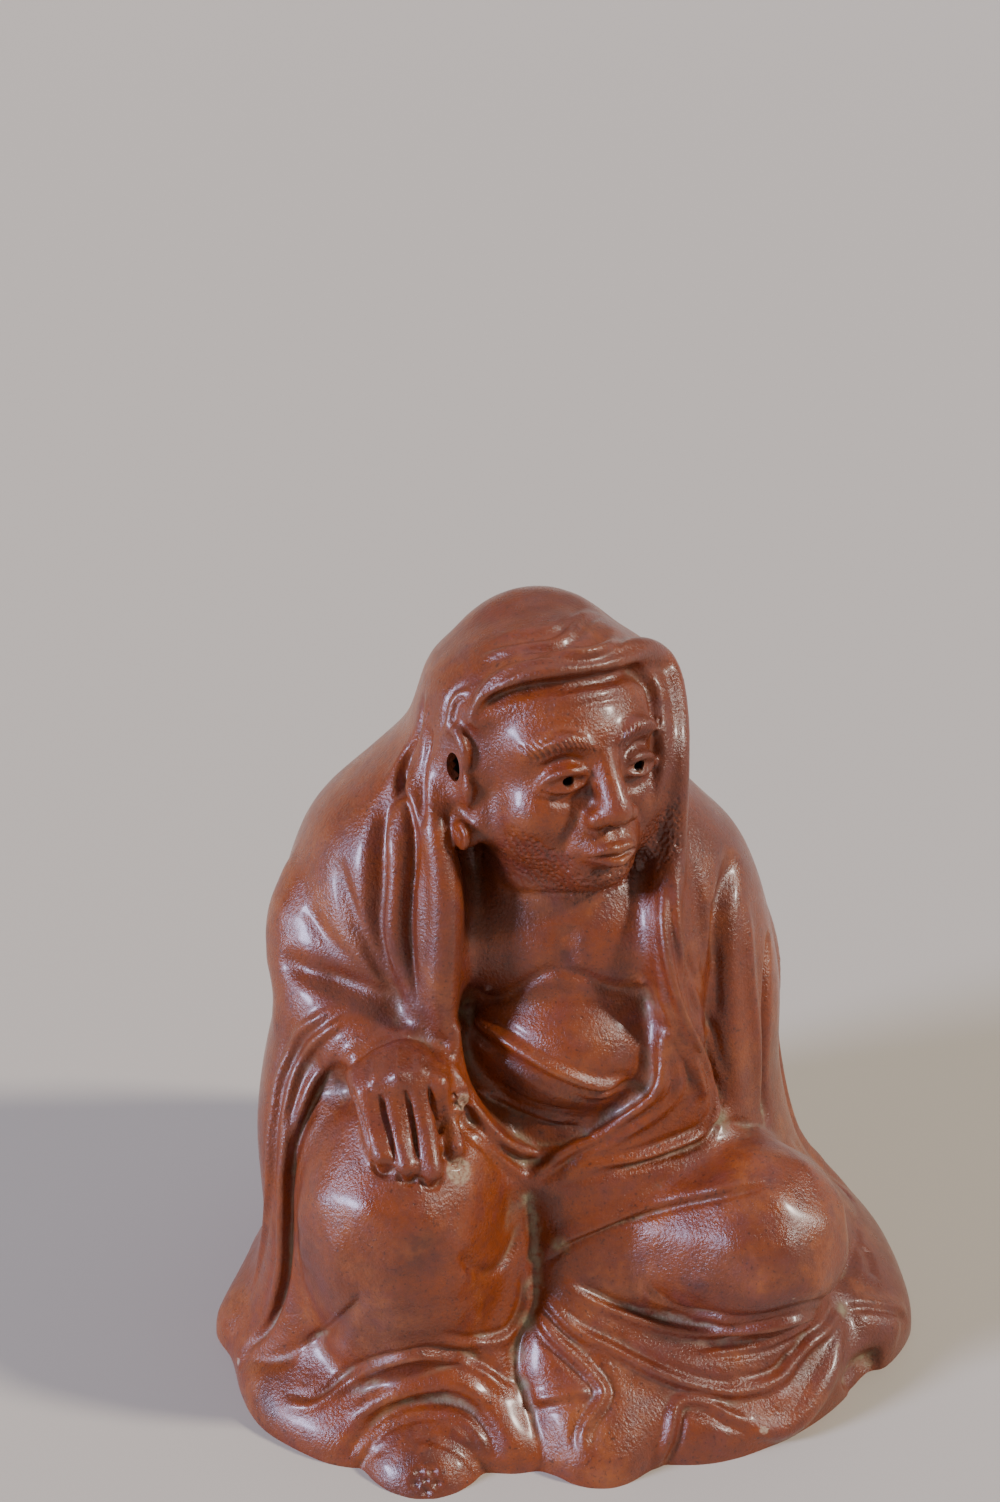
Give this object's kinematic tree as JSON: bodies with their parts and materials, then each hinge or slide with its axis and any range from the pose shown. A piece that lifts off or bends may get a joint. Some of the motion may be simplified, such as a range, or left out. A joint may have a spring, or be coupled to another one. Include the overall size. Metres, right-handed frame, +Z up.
{
  "type": "bodhidharma statue",
  "caption": "Seated hooded monk figure in unglazed red-brown stoneware, one knee raised with a hand on it, cloak spreading to a flat underside.",
  "frame": {"origin": "middle of the underside, at the centre of the bounding box in plan", "axes": "+Z up, -Y the way the figure's body faces, +X to the figure's left, which is the viewer's right"},
  "size_m": [0.1428, 0.1198, 0.15],
  "materials": {
    "stoneware": "unglazed, burnished to a low satin sheen"
  },
  "bodies": {
    "root": {"statue": "stoneware"}
  },
  "joints": []
}
